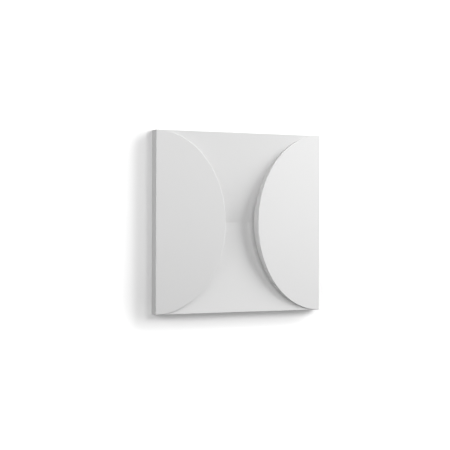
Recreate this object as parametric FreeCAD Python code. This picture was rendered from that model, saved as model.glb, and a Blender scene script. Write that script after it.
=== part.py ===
"""Relief wall panel: a square moulded tile with two tilted half-disc plates over a folded field.

The tile lies on its back. The back face is the plane z = 0 with the origin at its centre, +Z points
out of the decorated face, +Y is the edge that goes uppermost on the wall and +X the right-hand edge.
All lengths are millimetres.
"""

import FreeCAD
import Part
import math
import os

Vector = FreeCAD.Vector

# Driving dimensions
PANEL_SIDE = 333.0          # the tile is square: three to a metre
EDGE_THICKNESS = 22.0       # thickness all the way round the outside edge
CREASE_THICKNESS = 8.5      # thinnest section, under the fold across the middle of the field
DISC_RISE = 7.5             # how far each half disc climbs from the tile's edge to its tip
WAIST_GAP = 66.6            # clear distance between the tips of the two half discs
RIM_RADIUS = 0.5            # rounding along the curved rim of each half disc
ARRIS_CHAMFER = 0.5         # bevel along the tile's four front edges

# Sizes that follow from the driving dimensions
HALF_SIDE = PANEL_SIDE / 2.0
DISC_REACH = HALF_SIDE - WAIST_GAP / 2.0
DISC_SLOPE = DISC_RISE / DISC_REACH
TIP_THICKNESS = EDGE_THICKNESS + DISC_RISE


def prism(points, sweep):
    """Extrude the closed polygon through points along the vector sweep."""
    outline = Part.makePolygon([Vector(*point) for point in points + points[:1]])
    return Part.Face(outline).extrude(Vector(*sweep))


def folded_field():
    """The tile's body: a slab whose face falls from two opposite edges to a crease across the middle."""
    section = [
        (-HALF_SIDE, -HALF_SIDE, 0.0),
        (-HALF_SIDE, HALF_SIDE, 0.0),
        (-HALF_SIDE, HALF_SIDE, EDGE_THICKNESS),
        (-HALF_SIDE, 0.0, CREASE_THICKNESS),
        (-HALF_SIDE, -HALF_SIDE, EDGE_THICKNESS),
    ]
    return prism(section, (PANEL_SIDE, 0.0, 0.0))


def disc_outline(inset, height, slope):
    """The oval outline of the right-hand plate, pulled in by inset, at the given height on the tile's edge.

    The oval is centred on the edge and its plane climbs towards the tip by slope. It runs on a little
    past the edge, where a straight chord closes it.
    """
    centre = Vector(HALF_SIDE, 0.0, height)
    reach = DISC_REACH - inset
    upper_end = centre + Vector(0.0, HALF_SIDE - inset, 0.0)
    tip = centre + Vector(-reach, 0.0, slope * reach)
    overrun = math.pi / 18.0
    arc = Part.Ellipse(upper_end, tip, centre).toShape(-overrun, math.pi + overrun)
    chord = Part.makeLine(arc.Vertexes[-1].Point, arc.Vertexes[0].Point)
    return Part.Wire([arc, chord])


def half_disc():
    """The right-hand plate: an upright wall, a rounded rim and a sloping face, trimmed at the tile's edge."""
    outlines = [disc_outline(0.0, 0.0, 0.0)]
    for degrees in (0.0, 30.0, 60.0, 90.0):
        inset = RIM_RADIUS * (1.0 - math.cos(math.radians(degrees)))
        drop = RIM_RADIUS * (1.0 - math.sin(math.radians(degrees)))
        outlines.append(disc_outline(inset, EDGE_THICKNESS - drop, DISC_SLOPE))
    plate = Part.makeLoft(outlines, True, True)
    tile_half = Part.makeBox(HALF_SIDE, 2.0 * PANEL_SIDE, TIP_THICKNESS, Vector(0.0, -PANEL_SIDE, 0.0))
    return plate.common(tile_half)


def front_edge_bevel():
    """The sliver that comes off along the right-hand front edge, as a 45 degree wedge."""
    start = EDGE_THICKNESS - ARRIS_CHAMFER
    size = ARRIS_CHAMFER + TIP_THICKNESS
    triangle = [
        (HALF_SIDE, -PANEL_SIDE, start),
        (HALF_SIDE, -PANEL_SIDE, start + size),
        (HALF_SIDE - size, -PANEL_SIDE, start + size),
    ]
    return prism(triangle, (0.0, 2.0 * PANEL_SIDE, 0.0))


def turned(shape, degrees):
    """A copy of shape turned about the tile's own axis."""
    copy = shape.copy()
    copy.rotate(Vector(0.0, 0.0, 0.0), Vector(0.0, 0.0, 1.0), degrees)
    return copy


def wall_panel():
    """The whole tile as one solid."""
    right_disc = half_disc()
    left_disc = turned(right_disc, 180.0)
    body = folded_field().fuse([right_disc, left_disc])
    bevel = front_edge_bevel()
    body = body.cut([turned(bevel, quarter * 90.0) for quarter in range(4)])
    return body.removeSplitter().Solids[0]


def main():
    panel = wall_panel()
    os.makedirs("parts", exist_ok=True)
    panel.exportStep("parts/wall_panel.step")
    box = panel.optimalBoundingBox()
    print(f"wall_panel {box.XLength:.2f} x {box.YLength:.2f} x {box.ZLength:.2f} mm")
    print(f"volume {panel.Volume / 1e6:.4f} litres, valid {panel.isValid()}, faces {len(panel.Faces)}")


main()
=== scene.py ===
# %% [markdown]
# # A relief wall tile in primed white
# The real thing is one square tile of moulded foam, made to be glued to a wall beside others of its kind.
# Its face has two half-oval plates that climb towards each other over a field folded along the middle.
# The solid tile comes ready made, in metres, lying on its back on the plane z = 0, and its shape is right as
# it is: rims, bevels and all. This lesson gives it its finish, a floor to lie on, the light of a small studio
# and a camera.

# %% Load the tile
import math

import bpy
from mathutils import Euler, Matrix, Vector


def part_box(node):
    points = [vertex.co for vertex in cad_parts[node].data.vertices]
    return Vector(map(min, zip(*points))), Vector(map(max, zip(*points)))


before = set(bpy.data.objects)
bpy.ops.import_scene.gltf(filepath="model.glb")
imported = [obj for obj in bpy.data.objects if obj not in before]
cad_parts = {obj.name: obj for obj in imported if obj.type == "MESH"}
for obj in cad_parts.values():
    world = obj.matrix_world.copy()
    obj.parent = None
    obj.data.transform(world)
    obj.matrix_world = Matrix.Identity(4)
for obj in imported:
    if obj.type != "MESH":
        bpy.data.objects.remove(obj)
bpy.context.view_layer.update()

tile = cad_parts["wall_panel"]
low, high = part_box("wall_panel")
tile_size = high - low
print("tile", [round(1000 * side, 1) for side in tile_size], "mm,", len(tile.data.polygons), "faces")

# %% [markdown]
# ## Writing a finish as sums
# A finish in Blender is a small network of nodes, and wiring it line by line hides the idea behind it.
# The class below wraps one socket, so that a sum such as `1 - mask` adds the Math node that works it out.
# Every other kind of node comes from its one method: first the node's settings, then what its sockets get.
# Adding the nodes by hand in the editor would give the same result, but could not be read as easily.

# %% A socket that can be added and multiplied


class Value:
    """One socket of a shader tree; sums with it are written in Python and become Math nodes."""

    def __init__(self, tree, socket=None):
        self.tree = tree
        self.socket = socket

    def node(self, kind, settings=None, sockets=None, output=0):
        """Add a node, apply its settings, fill or link its sockets, and return one of its outputs."""
        made = self.tree.nodes.new(kind)
        for name, setting in (settings or {}).items():
            setattr(made, name, setting)
        for name, given in (sockets or {}).items():
            if isinstance(given, Value):
                self.tree.links.new(given.socket, made.inputs[name])
            else:
                made.inputs[name].default_value = given
        return Value(self.tree, made.outputs[output]) if made.outputs else None

    def sum_node(self, operation, first, second):
        return self.node("ShaderNodeMath", {"operation": operation}, {0: first, 1: second})

    def __add__(self, other):
        return self.sum_node("ADD", self, other)

    __radd__ = __add__

    def __sub__(self, other):
        return self.sum_node("SUBTRACT", self, other)

    def __rsub__(self, other):
        return self.sum_node("SUBTRACT", other, self)

    def __mul__(self, other):
        return self.sum_node("MULTIPLY", self, other)

    __rmul__ = __mul__

    def __lt__(self, other):
        return self.sum_node("LESS_THAN", self, other)

    def __gt__(self, other):
        return self.sum_node("GREATER_THAN", self, other)


def new_finish(name):
    """An empty material, and the Value that adds nodes to it."""
    material = bpy.data.materials.new(name)
    material.use_nodes = True
    material.node_tree.nodes.clear()
    return material, Value(material.node_tree)


print("finishes are written as sums of", Value.__name__)

# %% [markdown]
# ## The primed coat
# The tile leaves its mould with a tight skin and gets one sprayed coat of white primer, to be painted on the
# wall. Sprayed primer is matt and very even, but not perfect: it has a tooth, in grains of half a millimetre,
# for the paint to hold on to, a little more or less of it lies from place to place, and its sheen varies with
# it.
# A picture of such a coat could be wrapped around the tile. Noise in the tile's own millimetres is used
# instead, because it has no seams, keeps its scale on every face, and can be looked at from as near as one
# likes.

# %% The tooth and the cover of the sprayed coat
MILLIMETRE = 0.001
TOOTH_GRAIN = 0.45 * MILLIMETRE
SPECKLE_GRAIN = 0.8 * MILLIMETRE
COVER_GRAIN = 60 * MILLIMETRE
WAVE_GRAIN = 45 * MILLIMETRE


def noise(start, place, grain, detail=2.0):
    """Noise between 0 and 1 whose patches are about grain metres across, with detail finer layers in them."""
    sockets = {"Vector": place, "Scale": 1.0 / grain, "Detail": detail, "Roughness": 0.5}
    return start.node("ShaderNodeTexNoise", {"noise_dimensions": "3D"}, sockets)


primed, start = new_finish("primed_white_coat")
place = start.node("ShaderNodeTexCoord", output="Object")
tooth = noise(start, place, TOOTH_GRAIN)
speckle = noise(start, place, SPECKLE_GRAIN)
cover = noise(start, place, COVER_GRAIN, detail=4.0)
waviness = noise(start, place, WAVE_GRAIN, detail=1.0)
print("primed coat:", len(primed.node_tree.nodes), "nodes for tooth, speckle, cover and waviness")

# %% [markdown]
# ## Pinholes
# Here and there a bubble in the foam's skin stays open under the primer, as a pinhole of a few tenths of a
# millimetre. Scattering little dents by hand would take long. A Voronoi texture fills space with random
# points, and where the tile's surface happens to pass close by one, it shows a small round hole: few, uneven
# in size, and on every side of the tile. Each hole is dented in as bump and painted a darker grey, which is
# painted shade inside it.

# %% Pinholes, few and small


def bubbles(start, place, spacing, radius):
    """1 where the surface cuts a bubble of the given radius; the bubbles' centres lie about spacing apart."""
    sockets = {"Vector": place, "Scale": 1.0 / spacing}
    distance = start.node("ShaderNodeTexVoronoi", {"feature": "F1"}, sockets)
    return distance < radius / spacing


PINHOLE_SPACING = 9 * MILLIMETRE
PINHOLE_RADIUS = 0.2 * MILLIMETRE

pinholes = bubbles(start, place, PINHOLE_SPACING, PINHOLE_RADIUS)
pinhole_area = PINHOLE_SPACING ** 3 / (2 * PINHOLE_RADIUS)
print("about one pinhole in", round(pinhole_area / MILLIMETRE ** 2), "square millimetres")

# %% [markdown]
# ## The bare back
# Only the face and the edges are sprayed. The back keeps the raw skin of the foam, sanded flat for the glue:
# a little warmer in colour, duller, with fine sanding lines and open pores. The pores are dented in as bump
# and painted a darker brown, which is painted shade inside them.
# The back could be a second material on its own faces. A mask from the surface's own direction does the same
# without touching the mesh: the back is where the normal points down.

# %% Sanding lines, pores and the mask of the back
FACING_DOWN = -0.5
SANDING_SQUEEZE = (40.0, 1.0, 1.0)
SANDING_LENGTH = 22 * MILLIMETRE
PORE_SPACING = 3 * MILLIMETRE
PORE_RADIUS = 0.48 * MILLIMETRE

facing = start.node("ShaderNodeTexCoord", output="Normal")
upward = start.node("ShaderNodeSeparateXYZ", sockets={0: facing}, output=2)
back = upward < FACING_DOWN
lines_place = start.node("ShaderNodeVectorMath", {"operation": "MULTIPLY"}, {0: place, 1: SANDING_SQUEEZE})
sanding = noise(start, lines_place, SANDING_LENGTH, detail=3.0)
pores = bubbles(start, place, PORE_SPACING, PORE_RADIUS)
line_width = SANDING_LENGTH / SANDING_SQUEEZE[0]
print("back: sanding lines about", round(line_width / MILLIMETRE, 2), "mm wide, where the surface faces down")

# %% [markdown]
# ## Overspray
# The spray that coats the edges also creeps a little way round onto the back, and ends there in a ragged
# haze. A painted mask would do for one tile. Here the distance from the edge, in the tile's own size, is set
# against a fine noise: near the edge nearly every speck is white, further in fewer and fewer.

# %% White specks along the edges of the back
OVERSPRAY_REACH = 16 * MILLIMETRE
HAZE_INSIDE = 0.25
HAZE_AT_EDGE = 0.75

centred = start.node("ShaderNodeVectorMath", {"operation": "ABSOLUTE"}, {0: place})
across = start.node("ShaderNodeSeparateXYZ", sockets={0: centred}, output=0)
along = start.node("ShaderNodeSeparateXYZ", sockets={0: centred}, output=1)
outermost = start.node("ShaderNodeMath", {"operation": "MAXIMUM"}, {0: across, 1: along})
haze_sockets = {"Value": outermost, "From Min": high.x - OVERSPRAY_REACH, "From Max": high.x,
                "To Min": HAZE_INSIDE, "To Max": HAZE_AT_EDGE}
haze = start.node("ShaderNodeMapRange", sockets=haze_sockets)
overspray = speckle < haze
bare = back * (1.0 - overspray)
print("overspray reaches", round(OVERSPRAY_REACH / MILLIMETRE), "mm onto the back")

# %% [markdown]
# ## From masks to a surface
# All that varies now meets in one shader. The colour moves between two whites that differ by a shade, the
# roughness moves around that of matt primer, and the tooth is raised as bump, a few hundredths of a
# millimetre high. Pinholes and pores are painted darker, as painted shade inside them.
# Real displacement would need millions of faces for this, and nobody would see more.

# %% Colour, roughness and bump
THICK_COAT = (0.785, 0.785, 0.784, 1.0)
THIN_COAT = (0.773, 0.773, 0.771, 1.0)
# painted shade inside the pinholes
PINHOLE_SHADE = (0.60, 0.60, 0.595, 1.0)
RAW_SKIN = (0.74, 0.72, 0.67, 1.0)
SANDED_SKIN = (0.79, 0.775, 0.735, 1.0)
# painted shade inside the pores of the back
PORE_SHADE = (0.50, 0.48, 0.43, 1.0)
COVER_SHARE = 0.6
SPECKLE_SHARE = 0.4
COAT_ROUGHNESS = 0.66
COVER_ROUGHNESS = 0.08
TOOTH_ROUGHNESS = 0.06
BARE_ROUGHNESS = 0.9
TOOTH_HEIGHT = 0.06 * MILLIMETRE
WAVE_HEIGHT = 0.05 * MILLIMETRE
PINHOLE_DEPTH = 0.05 * MILLIMETRE
SANDING_HEIGHT = 0.06 * MILLIMETRE
PORE_DEPTH = 0.15 * MILLIMETRE


def blend_colours(start, factor, first, second):
    """A colour between first and second."""
    sockets = {0: factor, 6: first, 7: second}
    return start.node("ShaderNodeMix", {"data_type": "RGBA"}, sockets, output=2)


coat_thickness = COVER_SHARE * cover + SPECKLE_SHARE * speckle
coat_colour = blend_colours(start, coat_thickness, THIN_COAT, THICK_COAT)
# the pinholes get their painted shade
coat_colour = blend_colours(start, pinholes, coat_colour, PINHOLE_SHADE)
bare_colour = blend_colours(start, sanding, RAW_SKIN, SANDED_SKIN)
# the pores get their painted shade
bare_colour = blend_colours(start, pores, bare_colour, PORE_SHADE)
colour = blend_colours(start, bare, coat_colour, bare_colour)
coat_roughness = COAT_ROUGHNESS + COVER_ROUGHNESS * cover + TOOTH_ROUGHNESS * tooth
roughness = coat_roughness + bare * (BARE_ROUGHNESS - coat_roughness)
coat_height = TOOTH_HEIGHT * tooth + WAVE_HEIGHT * waviness - PINHOLE_DEPTH * pinholes
bare_height = SANDING_HEIGHT * sanding - PORE_DEPTH * pores
height = coat_height + back * (bare_height - coat_height)
bump_sockets = {"Strength": 1.0, "Distance": 1.0, "Height": height}
normal = start.node("ShaderNodeBump", sockets=bump_sockets)
surface_sockets = {
    "Base Color": colour,
    "Roughness": roughness,
    "Normal": normal,
    "IOR": 1.46,
    "Specular IOR Level": 0.2,
}
surface = start.node("ShaderNodeBsdfPrincipled", sockets=surface_sockets)
start.node("ShaderNodeOutputMaterial", sockets={"Surface": surface})
tile.material_slots[0].material = primed
print("tile wears", tile.material_slots[0].material.name, "with", len(primed.node_tree.nodes), "nodes")

# %% [markdown]
# ## The floor
# The tile lies on a plain white floor that keeps its shadow and fades to clean white around it.
# Raising the lamps until the floor is white would wash out the tile as well.
# So the floor glows for the camera alone, hardly at all beside the tile and more the further off: that glow
# is not light on the tile, and where the tile keeps the lamps off, the floor still falls to grey. The dim
# part is painted shade around the tile, which deepens the shadow near it and hides the shadow's faint outer
# part: a square as large as the tile, moved towards its upper edge, since the shadow off its lower edge is
# the palest.
# For light on its way to the tile the floor is a good deal darker, as a floor in a large studio is.

# %% A pale floor that the camera sees as white
FLOOR_REACH = 6.0

floor_corners = [(-FLOOR_REACH, -FLOOR_REACH, 0.0), (FLOOR_REACH, -FLOOR_REACH, 0.0),
                 (FLOOR_REACH, FLOOR_REACH, 0.0), (-FLOOR_REACH, FLOOR_REACH, 0.0)]
floor_mesh = bpy.data.meshes.new("floor")
floor_mesh.from_pydata(floor_corners, [], [(0, 1, 2, 3)])
floor = bpy.data.objects.new("floor", floor_mesh)
bpy.context.scene.collection.objects.link(floor)


def seen_directly(start):
    """1 for what the camera sees, straight, mirrored or through glass, and 0 for light on its way."""
    seen = start.node("ShaderNodeLightPath", output="Is Camera Ray")
    mirrored = start.node("ShaderNodeLightPath", output="Is Glossy Ray")
    through = start.node("ShaderNodeLightPath", output="Is Transmission Ray")
    return (seen + mirrored + through) > 0.5


SHOWN_FLOOR = (0.95, 0.95, 0.95, 1.0)
LIGHTING_FLOOR = (0.15, 0.15, 0.15, 1.0)
NEAR_GLOW = 0.12
FADE_END = 0.20
# middle of the painted shade around the tile
PAINTED_SHADE_CENTRE = (0.0, 0.036, 0.0)

pale_floor, start = new_finish("pale_floor")
seen = seen_directly(start)
place = start.node("ShaderNodeTexCoord", output="Object")
moved = start.node("ShaderNodeVectorMath", {"operation": "SUBTRACT"}, {0: place, 1: PAINTED_SHADE_CENTRE})
centred = start.node("ShaderNodeVectorMath", {"operation": "ABSOLUTE"}, {0: moved})
half_tile = (high.x, high.y, 0.0)
beyond = start.node("ShaderNodeVectorMath", {"operation": "SUBTRACT"}, {0: centred, 1: half_tile})
outside = start.node("ShaderNodeVectorMath", {"operation": "MAXIMUM"}, {0: beyond, 1: (0.0, 0.0, 0.0)})
distance = start.node("ShaderNodeVectorMath", {"operation": "LENGTH"}, {0: outside}, output="Value")
fade_sockets = {"Value": distance, "From Min": 0.0, "From Max": FADE_END,
                "To Min": NEAR_GLOW, "To Max": 1.0}
# the glow is dimmest around the tile: painted shade that deepens its shadow
glow = start.node("ShaderNodeMapRange", {"interpolation_type": "SMOOTHSTEP"}, fade_sockets)
floor_sockets = {
    "Base Color": blend_colours(start, seen, LIGHTING_FLOOR, SHOWN_FLOOR),
    "Roughness": 0.7,
    "Specular IOR Level": 0.3,
    "Emission Color": seen * glow,
    "Emission Strength": 1.0,
}
surface = start.node("ShaderNodeBsdfPrincipled", sockets=floor_sockets)
start.node("ShaderNodeOutputMaterial", sockets={"Surface": surface})
floor_mesh.materials.append(pale_floor)
print("floor", 2 * FLOOR_REACH, "m across, in full glow from", FADE_END, "m off the dim part")

# %% [markdown]
# ## The light
# Shallow relief shows only when light rakes across it, so the main lamps stand low on the upper right: a
# large one whose light is not thrown on from face to face, for clear shadows, one whose light is, for soft
# ones, and a small one that gives the shadows an edge. A tall lamp from the left keeps the shaded sides open,
# and a small one high above rounds off the rest. An even sky would show less: every face would look alike.

# %% Lamps


def soft_lamp(name, azimuth, elevation, distance, width, height, power, bounces):
    """An oval lamp that faces the tile's middle; azimuth counts from +X towards +Y, in degrees."""
    light = bpy.data.lights.new(name, "AREA")
    light.shape = "ELLIPSE"
    light.size = width
    light.size_y = height
    light.energy = power
    light.cycles.max_bounces = bounces
    lamp = bpy.data.objects.new(name, light)
    bpy.context.scene.collection.objects.link(lamp)
    level = math.cos(math.radians(elevation))
    away = Vector((
        level * math.cos(math.radians(azimuth)),
        level * math.sin(math.radians(azimuth)),
        math.sin(math.radians(elevation)),
    ))
    lamp.location = distance * away
    lamp.rotation_euler = away.to_track_quat("Z", "Y").to_euler()
    print(name, "at", [round(value, 2) for value in lamp.location], "with", power, "W")


soft_lamp("clear_key", azimuth=20.0, elevation=22.0, distance=3.2,
          width=2.1, height=2.4, power=65.6, bounces=0)
soft_lamp("soft_key", azimuth=37.0, elevation=16.0, distance=2.3,
          width=2.1, height=1.0, power=26.5, bounces=8)
soft_lamp("small_key", azimuth=44.0, elevation=27.5, distance=2.5,
          width=0.4, height=0.4, power=9.1, bounces=8)
soft_lamp("top_fill", azimuth=50.0, elevation=66.0, distance=1.0,
          width=0.6, height=0.3, power=2.68, bounces=8)
soft_lamp("left_fill", azimuth=168.0, elevation=19.0, distance=1.3,
          width=0.5, height=2.0, power=8.83, bounces=8)

# %% [markdown]
# ## The surroundings
# Beyond the floor there is only white, as in a studio with a paper backdrop.
# The camera sees that white at full strength; as light it stays faint, so that the lamps keep their say.

# %% White surroundings
AMBIENT = 0.151

world = bpy.data.worlds.new("white_surroundings")
bpy.context.scene.world = world
world.use_nodes = True
world.node_tree.nodes.clear()
start = Value(world.node_tree)
strength = AMBIENT + (1.0 - AMBIENT) * seen_directly(start)
sky = start.node("ShaderNodeBackground", sockets={"Color": (1.0, 1.0, 1.0, 1.0), "Strength": strength})
start.node("ShaderNodeOutputWorld", sockets={"Surface": sky})
print("surroundings: ambient", AMBIENT)

# %% [markdown]
# ## The camera
# The picture looks down on the tile from its left, with a long lens that keeps its edges nearly parallel.

# %% Camera
LENS = 86.069
SENSOR_WIDTH = 36.0
PITCH = -0.2314
YAW = -23.6912
ROLL = 0.2148
CAMERA_PLACE = (-0.82837, 0.0033, 1.83855)
FURTHEST_VIEW = 50.0

camera_data = bpy.data.cameras.new("camera")
camera_data.sensor_width = SENSOR_WIDTH
camera_data.lens = LENS
camera_data.clip_end = FURTHEST_VIEW
camera = bpy.data.objects.new("camera", camera_data)
bpy.context.scene.collection.objects.link(camera)
camera.rotation_mode = "ZXY"
camera.rotation_euler = Euler([math.radians(angle) for angle in (PITCH, YAW, ROLL)], "ZXY")
camera.location = CAMERA_PLACE
bpy.context.scene.camera = camera
bpy.context.scene.view_settings.view_transform = "Standard"
print("camera", round(camera.location.length, 3), "m from the tile's middle")
